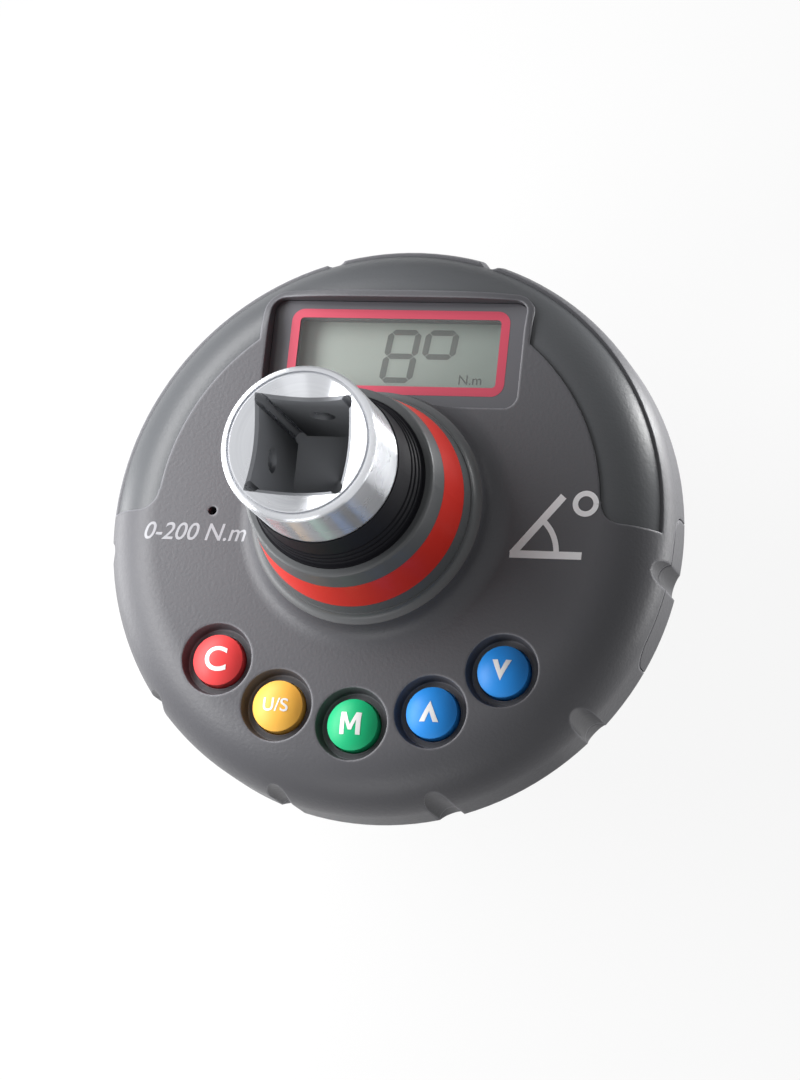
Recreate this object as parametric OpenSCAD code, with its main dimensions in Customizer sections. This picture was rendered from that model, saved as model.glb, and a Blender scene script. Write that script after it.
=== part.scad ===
// Torque and angle gauge for half-inch square-drive wrenches.
// A round two-part housing is carried by a steel torsion shaft. The square socket in front takes the
// wrench, the square drive behind turns the fastener's socket, and the waist between them carries the
// strain gauges. The drive axis is Z with the tip of the male square at Z = 0, the display lies
// towards +Y, the five keys towards -Y and the battery drawer towards +X. All sizes are millimetres.

/* [Drive] */
// Width across the flats of the male square drive
drive_af = 12.7; // [11:0.1:13]
// Length of the male square drive
drive_len = 16; // [14:0.5:24]
// Chamfer around the tip of the male square
tip_chamfer = 1; // [0.4:0.1:1.8]
// Play between a square drive and its socket
socket_play = 0.15; // [0.05:0.05:0.3]
// Depth of the square socket
socket_depth = 19; // [15:0.5:22]
// Radius of the rounded relief in each corner of the socket
relief_r = 0.9; // [0.6:0.1:1.1]
// How far a relief's centre lies inside its corner
relief_inset = 0.4; // [0.3:0.1:0.7]
// Diameter of the cone that leads into the socket
lead_in_d = 19.3; // [19:0.1:20]
// Slope of the lead-in cone, in degrees below the mouth
lead_in_slope = 35; // [25:1:45]
// Diameter of the detent dimples in the socket walls
dimple_d = 5; // [3:0.5:6]
// Depth of the dimples' centres below the mouth
dimple_drop = 9; // [6:0.5:11]
// How far a dimple is sunk into its wall
dimple_sink = 0.8; // [0.4:0.1:1.2]

/* [Detent] */
// Diameter of the detent ball
ball_d = 5; // [4:0.25:6]
// How far the ball stands out of the square
ball_proud = 1.2; // [0.8:0.1:1.6]
// Radial play of the ball in its bore
ball_play = 0.05; // [0.03:0.01:0.1]
// Depth of the detent bore from the face of the square
ball_bore_depth = 10.2; // [9:0.1:11]
// Wire diameter of the detent spring
spring_wire = 0.5; // [0.4:0.05:0.6]
// Outer diameter of the detent spring
spring_d = 3.8; // [3:0.1:3.9]
// Turns of the detent spring
spring_turns = 5; // [4:1:7]

/* [Shaft] */
// Diameter of the round barrel that holds the socket
barrel_d = 22; // [21.4:0.1:23]
// Height of the barrel's mouth above the face
barrel_rise = 36.6; // [32:0.2:42]
// Rounding of the barrel's front edge
barrel_edge = 0.8; // [0.4:0.1:0.8]
// Mean diameter of the fine groove around the mouth
rim_groove_d = 19.9; // [19.8:0.1:20]
// Width of that groove
rim_groove_w = 0.3; // [0.2:0.05:0.4]
// Depth of that groove
rim_groove_depth = 0.5; // [0.2:0.1:0.8]
// Width across the flats of the gauged waist
waist_af = 14; // [12:0.5:15]
// Drop of the waist's upper end below the face
waist_drop = 5; // [4.5:0.5:5.5]
// Diameter of the hub that the rear housing sits on
hub_d = 23; // [22.6:0.1:24]
// Length of the hub above the back
hub_len = 8.5; // [8.5:0.5:10]
// How far the collar behind the back stands out of the hub
collar_out = 2; // [1.5:0.1:3]
// Height of that collar
collar_h = 3; // [2:0.5:5]
// Side of a strain gauge
gauge_side = 8; // [5:0.5:9]
// Thickness of a strain gauge with its cover
gauge_t = 0.3; // [0.2:0.05:0.5]
// Width of the shaft key
key_w = 4; // [3:0.5:5]
// Depth of the key's seat in the hub
key_sink = 1.9; // [1.5:0.1:2.4]
// Radial height of the key outside the hub
key_out = 1.9; // [1.2:0.1:2.2]
// Length of the key
key_len = 4.5; // [3:0.5:5]
// Height of the key above the back
key_lift = 1; // [0.5:0.25:1.5]
// Thickness of the retaining ring
ring_t = 1.2; // [0.8:0.1:1.4]
// How far the retaining ring stands out of the hub
ring_out = 1.7; // [1.2:0.1:2]
// Depth of the retaining ring's groove
ring_sink = 1.1; // [0.6:0.1:1.4]
// Opening of the retaining ring, in degrees
ring_gap = 50; // [30:5:80]

/* [Body] */
// Diameter of the housing
body_d = 84; // [83:0.5:90]
// Depth of the housing from face to back
body_depth = 26; // [26:0.5:30]
// Depth of the front shell from the face to the parting line
front_depth = 14.5; // [14.5:0.1:15.2]
// Rounding between face and side wall
shoulder_round = 9; // [8:0.1:9.6]
// Thickness of the face
face_t = 3; // [2.8:0.1:3.2]
// Thickness of the front shell's side wall
wall_t = 3.6; // [3.4:0.1:3.8]
// Thickness of the back
back_t = 2.6; // [2:0.1:2.8]
// Thickness of the rear shell's side wall
rear_wall_t = 2.6; // [2:0.1:3]
// Inward lean of the rear shell's side wall, in degrees
rear_draft = 24; // [20:1:26]
// Rounding between side wall and back
rear_round = 4; // [2:0.5:5]
// Height of the locating lip on the rear shell
lip_h = 1.5; // [1:0.1:2]
// Thickness of that lip
lip_t = 1.2; // [0.8:0.1:1.6]
// Wall of the tube around the hub
hub_tube_t = 2.4; // [2.2:0.1:2.6]
// Height of the hub tube above the back
hub_tube_h = 6.5; // [6:0.1:7]
// Number of stiffening ribs on the inside of the back
rib_count = 5; // [3:1:6]
// Direction of the first stiffening rib, in degrees
rib_start = 62; // [58:1:66]
// Angle from the first rib to the last, in degrees
rib_span = 200; // [196:1:204]
// Thickness of a stiffening rib
rib_t = 1.6; // [1:0.1:2.4]
// Height of a stiffening rib above the inside of the back
rib_h = 3; // [1.5:0.5:4]

/* [Grip grooves] */
// Width of a grip groove at the side wall
groove_w = 3.7; // [3:0.1:5]
// Depth of a grip groove
groove_depth = 1.5; // [0.8:0.1:1.8]
// Angle between neighbouring grooves, in degrees
groove_pitch = 33; // [31:0.5:35]

/* [Neck] */
// Diameter of the housing's flare where it leaves the face
flare_d = 40.4; // [38:0.2:42]
// Fillet of that flare
flare_round = 3.2; // [2:0.1:3.6]
// Height of the seam between flare and sleeve above the face
seam_rise = 4.2; // [3.8:0.1:4.6]
// Fillet at the foot of the sleeve
foot_round = 1.2; // [0.8:0.1:1.4]
// Diameter of the sleeve's cone at the seam
sleeve_foot_d = 31.8; // [31.4:0.1:32.4]
// Diameter of the sleeve's cone at its top
sleeve_top_d = 27.3; // [26.8:0.1:28]
// Height of the sleeve's top above the face
sleeve_rise = 17.7; // [16.5:0.1:19]
// Rounding of the sleeve's top edge
sleeve_edge = 0.5; // [0.3:0.1:0.7]
// Diameter of the spigot that seats the sleeve in the housing
spigot_d = 29.2; // [28.4:0.1:30]
// Height of the coloured band's lower edge above the face
band_low = 7.6; // [6.6:0.1:8.6]
// Width of the coloured band along the axis
band_w = 6.4; // [5:0.1:7]
// Thickness of the coloured band
band_t = 0.9; // [0.6:0.1:1]
// Wall of the front bush
bush_t = 1.5; // [1.2:0.05:1.6]
// Thickness of the bush's flange
bush_flange_t = 1.2; // [0.8:0.1:1.4]
// Diameter of the bush's flange
bush_flange_d = 28; // [27:0.1:28.2]
// Height of the neck seal above the sleeve
seal_rise = 8.4; // [6:0.1:9]
// Wall of the neck seal at its thin upper end
seal_lip_t = 0.15; // [0.15:0.05:0.3]
// Depth of the neck seal's plug inside the sleeve
seal_plug = 2.5; // [2:0.1:3]
// Hollow of the neck seal's outline, 1 for a plain cone
seal_hollow = 2; // [1:0.1:3]
// Number of bead lines around the neck seal
seal_lines = 3; // [1:1:4]
// Width of a bead line around the neck seal
seal_line = 0.4; // [0.3:0.05:0.5]
// Distance between the bead lines
seal_line_pitch = 1.1; // [0.8:0.1:1.6]

/* [Rim trim] */
// Width of the trim strip, from the side wall inwards
trim_w = 9; // [8:0.1:9.2]
// Thickness of the trim strip
trim_t = 1.2; // [0.9:0.05:1.3]
// How far the strip lies below the face
trim_sink = 0.4; // [0.2:0.05:0.5]
// Drop of the ledge that ends the strip on the side wall
trim_drop = 5; // [4.6:0.1:5.6]
// Rounding of the strip's inner corners at its two ends
trim_corner = 3; // [1.5:0.5:4]

/* [Display] */
// Distance of the recess's ends from the side wall
recess_side = 22.7; // [22.5:0.1:23]
// Distance of the recess's upper edge from the side wall
recess_top = 9.2; // [9.1:0.1:9.4]
// Distance of the recess's lower edge from the axis
recess_foot = 16.3; // [16.2:0.1:16.6]
// Depth of the recess down to the window
recess_depth = 2.4; // [1.8:0.1:2.6]
// Corner radius of the recess
recess_round = 2; // [1.2:0.1:2.6]
// Width of the plain edge between recess and trim
bezel_lip = 1; // [0.6:0.1:1.2]
// Wall of the pocket under the face
pocket_wall = 1.6; // [1.2:0.1:1.8]
// Thickness of the window
window_t = 1.2; // [0.8:0.1:1.4]
// Thickness of the shelf that the window rests on
shelf_t = 1.2; // [0.8:0.1:1.3]
// Width of that shelf at the recess's ends
shelf_side = 3.4; // [3.2:0.1:3.6]
// Width of that shelf along the recess's long edges
shelf_edge = 2.5; // [2.3:0.1:2.6]
// How far the display cell laps over the shelf at its ends
lcd_side = 0.7; // [0.4:0.1:0.8]
// How far the display cell laps over the shelf along its long edges
lcd_edge = 1.4; // [1.2:0.1:1.5]
// Thickness of the display cell
lcd_t = 2.2; // [1.8:0.1:2.4]
// Wall of the display holder
holder_wall = 1.1; // [0.8:0.1:1.2]
// Gap between the holder's trimmed corners and the side wall
holder_room = 2; // [1.9:0.05:2.1]
// Width of a contact strip between display and board
strip_w = 2; // [1.5:0.1:2.4]

/* [Keys] */
// Distance of the keys' middles from the side wall
key_inset = 11.6; // [11.4:0.1:12]
// Angle between neighbouring keys, in degrees
key_pitch = 22; // [21:0.5:23]
// Diameter of a key's dished well at the face
well_d = 10.6; // [10:0.1:11]
// Diameter of the well at its floor
well_floor_d = 9.6; // [9.2:0.1:9.8]
// Depth of the well
well_depth = 2.1; // [1.6:0.1:2.2]
// Diameter of a key's cap
cap_d = 7.4; // [7:0.1:7.8]
// Radial play of a key in the housing
cap_play = 0.2; // [0.1:0.05:0.3]
// Height of the domed top of a key
crown = 1.2; // [0.6:0.1:1.6]
// Height of a key's top above the face
cap_rise = 0.5; // [0.2:0.1:1]
// Overhang of a key's flange under the housing
cap_flange = 0.7; // [0.5:0.1:0.9]
// Thickness of that flange
cap_flange_t = 0.9; // [0.7:0.1:1.2]
// Diameter of a key's stem
stem_d = 3.2; // [2.6:0.1:3.6]
// Side of a key switch
switch_side = 6; // [5:0.5:6.5]
// Height of a key switch
switch_h = 3.5; // [3:0.1:3.8]
// Depth of the switch's well for the stem
switch_well = 1.3; // [1.1:0.1:1.6]
// How far the stem reaches into the switch
stem_reach = 0.4; // [0.2:0.1:0.5]

/* [Board] */
// Drop of the board's upper side below the face
board_drop = 10; // [9.9:0.1:10.2]
// Thickness of the board
board_t = 1.6; // [1.2:0.1:1.7]
// Gap between the board and the side wall
board_gap = 1.2; // [0.8:0.1:1.6]
// Diameter of the board's hole around the shaft
board_hole_d = 30; // [28:0.5:31]
// Distance of the buzzer's middle from the side wall
buzzer_inset = 17.6; // [16.4:0.1:18]
// Diameter of the buzzer
buzzer_d = 12; // [9:0.5:12.2]
// Height of the buzzer
buzzer_h = 5.4; // [4:0.2:6.4]
// Diameter of the sound hole in the face
sound_hole_d = 1.3; // [0.8:0.1:2]
// Side of the controller chip
chip_side = 9; // [6:0.5:10]
// Height of the controller chip
chip_h = 1.4; // [1:0.1:2]
// Width of the flexible lead from the gauges to the board
flex_w = 5; // [3:0.5:7]
// Thickness of that lead
flex_t = 0.2; // [0.15:0.05:0.3]

/* [Battery drawer] */
// Direction of the drawer around the axis, in degrees
door_angle = -10; // [-12:0.5:-8]
// Width of the drawer's front
door_w = 22; // [21.6:0.1:22.4]
// Drop of the front's upper edge below the face
door_drop = 8.8; // [8.4:0.1:9.4]
// How far the front reaches below the tray
door_lap = 1; // [0.8:0.1:1.2]
// Corner radius of the drawer's front
door_round = 3.5; // [2:0.1:3.6]
// Gap around the drawer's front
door_gap = 0.2; // [0.15:0.05:0.3]
// Thickness of the drawer's front at its middle
door_t = 4.5; // [4.2:0.1:4.6]
// Diameter of the coin cell
cell_d = 20; // [19:0.1:20]
// Thickness of the coin cell
cell_t = 3.2; // [2.5:0.1:3.2]
// Gap between the cell and the drawer's front
cell_setback = 1.5; // [1.2:0.1:1.6]
// Drop of the cell's upper side below the board
cell_drop = 1.4; // [1.2:0.1:1.6]
// Radial play of the cell in the tray
cell_play = 0.15; // [0.1:0.05:0.2]
// Thickness of the tray's floor
tray_floor = 1; // [0.8:0.1:1.1]
// How far the tray's walls stay below the top of the cell
tray_dip = 0.4; // [0.3:0.1:1]
// Thickness of the tray's inner end wall
tray_end = 0.9; // [0.6:0.1:1]
// Width of a battery contact
contact_w = 5; // [3:0.5:6]
// Thickness of a contact's spring strip
contact_t = 0.4; // [0.3:0.05:0.5]
// Room beside a contact in the tray's slot
contact_room = 1; // [0.6:0.1:1.4]
// Gap between a contact's crest and the cell
contact_gap = 0.05; // [0.03:0.01:0.1]

/* [Case screws] */
// Distance of the upper screws from the side wall
upper_screw_inset = 11; // [10.8:0.1:11.6]
// Angle of the upper screws above the X axis, in degrees
upper_screw_a = 25; // [24:1:28]
// How far the lower screws lie inside the circle of the keys
lower_screw_inset = 7.9; // [7.7:0.1:8.2]
// Angle of the lower screws below the X axis, in degrees
lower_screw_a = 56; // [55:1:60]
// Diameter of a screw's thread
screw_d = 2.9; // [2.5:0.1:3]
// Diameter of a screw's head
screw_head_d = 5.2; // [4.6:0.1:5.4]
// Height of a screw's head
screw_head_h = 2; // [1.6:0.1:2.4]
// Depth of the head's recess in the back
head_depth = 7.5; // [6.5:0.1:8]
// Length of the screw's thread in the front shell
screw_grip = 8; // [6:0.5:9]
// Wall around the head's recess
boss_wall = 1.3; // [1:0.1:1.4]
// Wall of the front boss around the thread
pilot_wall = 1.1; // [0.9:0.1:1.2]
// Width of the shoulder that the board rests on
boss_step = 1; // [0.7:0.1:1.2]

/* [Fits] */
// Radial clearance of turned and moulded fits
fit = 0.05; // [0.03:0.01:0.08]
// Small gap where a loose piece lies against its neighbour
ease = 0.1; // [0.05:0.01:0.2]

/* [Hidden] */
$fn = 96;
over = 1;

// Levels along the drive axis
back_z = drive_len + collar_h;
face_z = back_z + body_depth;
parting_z = face_z - front_depth;
mouth_z = face_z + barrel_rise;
waist_top_z = face_z - waist_drop;
hub_top_z = back_z + hub_len;
hub_tube_z = back_z + hub_tube_h;
floor_z = back_z + back_t;
ceiling_z = face_z - face_t;
seam_z = face_z + seam_rise;
sleeve_z = face_z + sleeve_rise;
board_z = face_z - board_drop;
window_z = face_z - recess_depth;
shelf_z = window_z - window_t;
lcd_z = shelf_z - shelf_t - 2 * ease;
switch_z = board_z + switch_h;
cell_top_z = board_z - board_t - cell_drop;
cell_low_z = cell_top_z - cell_t;
tray_z = cell_low_z - tray_floor;
door_top_z = face_z - door_drop;
door_low_z = tray_z - door_lap;
head_z = back_z + head_depth;

// Radii and widths that several pieces share
body_r = body_d / 2;
cavity_r = body_r - wall_t;
socket_af = drive_af + socket_play;
barrel_r = barrel_d / 2;
bush_r = barrel_r + fit + bush_t;
sleeve_bore_r = bush_r + fit;
hub_bore_r = hub_d / 2 + fit;
hub_tube_r = hub_bore_r + hub_tube_t;
ball_x = drive_af / 2 + ball_proud - ball_d / 2;
key_r = body_r - key_inset;
buzzer_x = body_r - buzzer_inset;
lower_screw_r = key_r - lower_screw_inset;
recess_w = 2 * (body_r - recess_side);
recess_h = body_r - recess_top - recess_foot;
recess_y = recess_foot + recess_h / 2;
aperture_w = recess_w - 2 * shelf_side;
aperture_h = recess_h - 2 * shelf_edge;
lcd_w = aperture_w + 2 * lcd_side;
lcd_h = aperture_h + 2 * lcd_edge;
trim_r = body_r - trim_sink;
trim_round = shoulder_round - trim_sink;
door_inner = body_r - door_t;
cell_x = door_inner - cell_setback - cell_d / 2;
tray_inner = cell_x - cell_d / 2 - cell_play - tray_end;
bay_start = sqrt(pow(cavity_r - fit - lip_t, 2) - pow(door_w / 2 + door_gap, 2)) - over;
groove_r = (groove_w * groove_w / 4 + groove_depth * groove_depth) / (2 * groove_depth);
sleeve_slope = (sleeve_foot_d - sleeve_top_d) / 2 / (sleeve_rise - seam_rise);
pilot_r = screw_d / 2 + fit;
front_boss_r = pilot_r + pilot_wall;
rear_boss_r = screw_head_d / 2 + ease + boss_wall;

// Angles of the keys, grooves, ribs and screws
key_angles = [for (i = [-2:2]) -90 + i * key_pitch];
groove_angles = concat(
    [for (i = [-5:2:5]) -90 + i * groove_pitch / 2],
    [for (i = [-1, 1]) 90 + i * groove_pitch / 2]
);
rib_angles = [for (i = [0:rib_count - 1]) rib_start + i * rib_span / (rib_count - 1)];
screw_places = [
    [body_r - upper_screw_inset, upper_screw_a],
    [body_r - upper_screw_inset, 180 - upper_screw_a],
    [lower_screw_r, -lower_screw_a],
    [lower_screw_r, lower_screw_a - 180]
];

// Shared shapes

// Children at a distance from the axis, in a direction given in degrees
module at(radius, angle) {
    rotate([0, 0, angle]) translate([radius, 0, 0]) children();
}

// Tube or rod between two levels
module rod(low, high, radius) {
    translate([0, 0, low]) cylinder(h = high - low, r = radius);
}

// Rectangle with round corners, centred
module round_rect(width, height, radius) {
    square([width - 2 * radius, height], center = true);
    square([width, height - 2 * radius], center = true);
    for (x = [-1, 1], y = [-1, 1])
        translate([x * (width / 2 - radius), y * (height / 2 - radius)]) circle(radius);
}

// Half section of a body with a rounded upper edge
module shoulder(radius, top, round, low) {
    translate([0, low]) square([radius, top - round - low]);
    translate([0, low]) square([radius - round, top - low]);
    translate([radius - round, top - round]) circle(round);
}

// Half section of the tapering rear shell, with its rounded lower edge tangent to the leaning wall
module rear_section(radius, low, round) {
    centre_z = low + round;
    centre_x = radius - (round + (parting_z - centre_z) * sin(rear_draft)) / cos(rear_draft);
    tangent = [centre_x + round * cos(rear_draft), centre_z - round * sin(rear_draft)];
    polygon([[0, parting_z], [radius, parting_z], tangent, [centre_x, centre_z], [0, centre_z]]);
    translate([0, low]) square([centre_x, round + fit]);
    translate([centre_x, centre_z]) circle(round);
}

// Outer form of the whole housing
module housing_form() {
    rotate_extrude() intersection() {
        union() {
            shoulder(body_r, face_z, shoulder_round, parting_z);
            rear_section(body_r, back_z, rear_round);
        }
        translate([0, back_z]) square([body_r, body_depth]);
    }
}

// Round grip grooves along the side wall
module grip_grooves() {
    for (angle = groove_angles)
        at(body_r - groove_depth + groove_r, angle)
            rod(back_z - over, face_z + over, groove_r);
}

// Prism of the drawer's front, grown by a gap, from a distance outwards
module door_prism(gap, inner) {
    rotate([0, 0, door_angle])
        translate([inner, 0, (door_top_z + door_low_z) / 2])
            rotate([90, 0, 90])
                linear_extrude(body_r + over - inner)
                    round_rect(door_w + 2 * gap, door_top_z - door_low_z + 2 * gap, door_round + gap);
}

// Outline of the display recess, grown by a margin
module recess_outline(margin) {
    translate([0, recess_y])
        round_rect(recess_w + 2 * margin, recess_h + 2 * margin, recess_round + margin);
}

// Half-round strip over the upper rim, between two offsets from its seat
module trim_strip(skin, gap) {
    inner_r = body_r - trim_w + gap;
    ledge_z = face_z - trim_drop + gap;
    seat = trim_t - gap;
    difference() {
        rotate_extrude(angle = 180) difference() {
            intersection() {
                shoulder(trim_r + skin, face_z - trim_sink + skin, trim_round, parting_z);
                translate([inner_r, ledge_z]) square([body_r, trim_drop + over]);
            }
            shoulder(trim_r - seat, face_z - trim_sink - seat, trim_round - seat, parting_z);
        }
        translate([0, 0, ledge_z - over]) linear_extrude(trim_drop + 3 * over) {
            recess_outline(bezel_lip + gap);
            translate([-body_r - over, -over]) square([2 * (body_r + over), over + gap]);
            for (side = [0, 1]) mirror([side, 0]) difference() {
                translate([inner_r - over, -over]) square([trim_corner + over, trim_corner + over + gap]);
                translate([inner_r + trim_corner, trim_corner + gap]) circle(trim_corner);
            }
        }
    }
}

// Radius of the sleeve's cone at a height above the face
function sleeve_r(rise) = sleeve_foot_d / 2 - (rise - seam_rise) * sleeve_slope;

// Half section of the coloured band, grown inwards and along the axis by a gap
module band_section(gap) {
    low = band_low - gap;
    high = band_low + band_w + gap;
    polygon([
        [sleeve_r(low) - band_t - gap, face_z + low],
        [sleeve_r(low) + gap * over, face_z + low],
        [sleeve_r(high) + gap * over, face_z + high],
        [sleeve_r(high) - band_t - gap, face_z + high]
    ]);
}

// Steel pieces of the drive

// Torsion shaft: socket barrel, gauged waist, hub, collar and male square in one forging
module torsion_shaft() {
    color("#d9dbe0") difference() {
        union() {
            intersection() {
                translate([0, 0, drive_len / 2]) cube([drive_af, drive_af, drive_len], center = true);
                rod_with_point();
            }
            rod(drive_len, back_z, hub_d / 2 + collar_out);
            rod(back_z, hub_top_z, hub_d / 2);
            translate([-waist_af / 2, -waist_af / 2, hub_top_z])
                cube([waist_af, waist_af, waist_top_z - hub_top_z]);
            rotate_extrude() shoulder(barrel_r, mouth_z, barrel_edge, waist_top_z);
        }
        square_socket();
        rotate_extrude()
            translate([(rim_groove_d - rim_groove_w) / 2, mouth_z - rim_groove_depth])
                square([rim_groove_w, rim_groove_depth + over]);
        ring_groove();
        key_seat(fit);
        translate([drive_af / 2 - ball_bore_depth, 0, drive_len / 2])
            rotate([0, 90, 0]) cylinder(h = ball_bore_depth + over, d = ball_d + 2 * ball_play);
    }
}

// Envelope that chamfers the tip of the male square on all four sides
module rod_with_point() {
    half = drive_af / 2;
    intersection_for (turn = [0, 90])
        rotate([90, 0, turn])
            translate([0, 0, -half])
                linear_extrude(drive_af)
                    polygon([
                        [-half + tip_chamfer, 0], [half - tip_chamfer, 0], [half, tip_chamfer],
                        [half, drive_len], [-half, drive_len], [-half, tip_chamfer]
                    ]);
}

// Square hole with relieved corners, a conical lead-in and four detent dimples
module square_socket() {
    relief = socket_af / 2 - relief_inset;
    cone_h = lead_in_d / 2 * tan(lead_in_slope);
    translate([-socket_af / 2, -socket_af / 2, mouth_z - socket_depth])
        cube([socket_af, socket_af, socket_depth + over]);
    for (x = [-1, 1], y = [-1, 1])
        translate([x * relief, y * relief, 0]) rod(mouth_z - socket_depth, mouth_z + over, relief_r);
    translate([0, 0, mouth_z - cone_h]) cylinder(h = cone_h, r1 = 0, r2 = lead_in_d / 2);
    for (turn = [0:90:270])
        rotate([0, 0, turn])
            translate([socket_af / 2 + dimple_sink - dimple_d / 2, 0, mouth_z - dimple_drop])
                sphere(d = dimple_d);
}

// Groove for the retaining ring, cut just above the hub tube
module ring_groove() {
    difference() {
        rod(hub_tube_z, hub_tube_z + ring_t + ease, hub_d / 2 + over);
        rod(hub_tube_z - over, hub_tube_z + ring_t + over, hub_d / 2 - ring_sink);
    }
}

// Block of the shaft key, grown by a gap
module key_seat(gap) {
    translate([hub_d / 2 - key_sink - gap, -key_w / 2 - gap, back_z + key_lift - gap])
        cube([key_sink + key_out + 2 * gap, key_w + 2 * gap, key_len + 2 * gap]);
}

// Foil strain gauges under their covers, one on each flat of the waist
module strain_gauges() {
    gauge_z = (waist_top_z + hub_top_z) / 2;
    color("#b8793a") for (turn = [0:90:270])
        rotate([0, 0, turn])
            translate([waist_af / 2, -gauge_side / 2, gauge_z - gauge_side / 2])
                cube([gauge_t, gauge_side, gauge_side]);
}

// Flexible lead from the gauges to the board
module gauge_flex() {
    near = waist_af / 2 + gauge_t;
    far = buzzer_x - buzzer_d / 2 - 2 * ease;
    color("#c98f3d") translate([-far, -flex_w / 2, board_z]) cube([far - near, flex_w, flex_t]);
}

// Flanged plain bush that steadies the barrel in the neck
module front_bush() {
    low_z = ceiling_z - bush_flange_t;
    color("#caa968") difference() {
        union() {
            rod(low_z, sleeve_z - seal_plug, bush_r);
            rod(low_z, ceiling_z, bush_flange_d / 2);
        }
        rod(low_z - over, sleeve_z, barrel_r + fit);
    }
}

// Parallel key that stops the housing from turning on the hub
module shaft_key() {
    color("#8f9298") key_seat(0);
}

// Open retaining ring that holds the rear shell against the collar
module retaining_ring() {
    color("#6f7278") difference() {
        rod(hub_tube_z, hub_tube_z + ring_t, hub_d / 2 + ring_out);
        rod(hub_tube_z - over, hub_tube_z + ring_t + over, hub_d / 2 - ring_sink + fit);
        translate([0, 0, hub_tube_z - over]) linear_extrude(ring_t + 2 * over)
            polygon([
                [0, 0],
                [hub_d * cos(90 - ring_gap / 2), hub_d * sin(90 - ring_gap / 2)],
                [hub_d * cos(90 + ring_gap / 2), hub_d * sin(90 + ring_gap / 2)]
            ]);
    }
}

// Detent ball in the side of the male square
module detent_ball() {
    color("#c9ccd2") translate([ball_x, 0, drive_len / 2]) sphere(d = ball_d);
}

// Compression spring behind the ball, swept along a helix
module detent_spring() {
    mean_r = (spring_d - spring_wire) / 2;
    wire_r = spring_wire / 2;
    low_x = drive_af / 2 - ball_bore_depth + wire_r + fit;
    high_x = ball_x - sqrt(ball_d * ball_d / 4 - mean_r * mean_r) - spring_wire;
    sides = 8;
    steps = 16 * spring_turns;
    points = [
        for (i = [0:steps], k = [0:sides - 1])
            let (turn = 360 * spring_turns * i / steps, lap = 360 * k / sides)
            let (reach = mean_r + wire_r * cos(lap))
            [low_x + (high_x - low_x) * i / steps + wire_r * sin(lap), reach * cos(turn), reach * sin(turn)]
    ];
    walls = [
        for (i = [0:steps - 1], k = [0:sides - 1])
            let (a = i * sides, b = a + sides, next = (k + 1) % sides)
            each [[a + k, a + next, b + k], [a + next, b + next, b + k]]
    ];
    ends = [[for (k = [sides - 1:-1:0]) k], [for (k = [0:sides - 1]) steps * sides + k]];
    color("#9a9ea6") translate([0, 0, drive_len / 2]) polyhedron(points, concat(walls, ends));
}

// Housing

// Front shell with face, neck flare, display pocket, key wells and board bosses
module front_housing() {
    color("#4a4a4e") difference() {
        union() {
            difference() {
                intersection() {
                    housing_form();
                    rod(parting_z, face_z, body_r + over);
                }
                rotate_extrude() cavity_section();
            }
            rotate_extrude() neck_flare();
            intersection() {
                housing_form();
                translate([0, 0, shelf_z - shelf_t])
                    linear_extrude(face_z - shelf_z + shelf_t) recess_outline(pocket_wall);
            }
            for (place = screw_places) at(place[0], place[1]) {
                rod(parting_z, face_z - face_t / 2, front_boss_r);
                rod(board_z, face_z - face_t / 2, front_boss_r + boss_step);
            }
        }
        trim_strip(body_r, 0);
        grip_grooves();
        door_prism(door_gap, bay_start);
        rod(parting_z - over, seam_z + over, spigot_d / 2 + fit);
        translate([0, 0, window_z]) linear_extrude(recess_depth + over) recess_outline(0);
        translate([0, 0, shelf_z]) linear_extrude(window_t + over) recess_outline(0);
        translate([0, recess_y, shelf_z - shelf_t - over])
            linear_extrude(shelf_t + 2 * over) square([aperture_w, aperture_h], center = true);
        for (angle = key_angles) at(key_r, angle) key_well();
        translate([-buzzer_x, 0, 0]) rod(ceiling_z - over, face_z + over, sound_hole_d / 2);
        for (place = screw_places) at(place[0], place[1])
            rod(parting_z - over, parting_z + screw_grip + 2 * ease, pilot_r);
    }
}

// Half section of the hollow inside the front shell, with its edge rounded along the shoulder
module cavity_section() {
    intersection() {
        shoulder(cavity_r, ceiling_z, shoulder_round - face_t, parting_z - over);
        translate([0, parting_z - over]) square([cavity_r, front_depth]);
    }
}

// Half section of the flared foot on which the neck sleeve sits
module neck_flare() {
    flare_r = flare_d / 2;
    translate([0, ceiling_z]) square([flare_r - flare_round, seam_z - ceiling_z]);
    difference() {
        translate([0, face_z - over]) square([flare_r, flare_round + over]);
        translate([flare_r, face_z + flare_round]) circle(flare_round);
    }
}

// Dished well and guide hole of one key, with a spot face for its flange
module key_well() {
    translate([0, 0, face_z - well_depth])
        cylinder(h = well_depth, d1 = well_floor_d, d2 = well_d);
    rod(face_z - fit, face_z + over, well_d / 2);
    rod(ceiling_z - over, face_z, cap_d / 2 + cap_play);
    rod(ceiling_z - 2 * cap_flange_t, ceiling_z, cap_d / 2 + cap_flange + cap_play);
}

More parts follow.
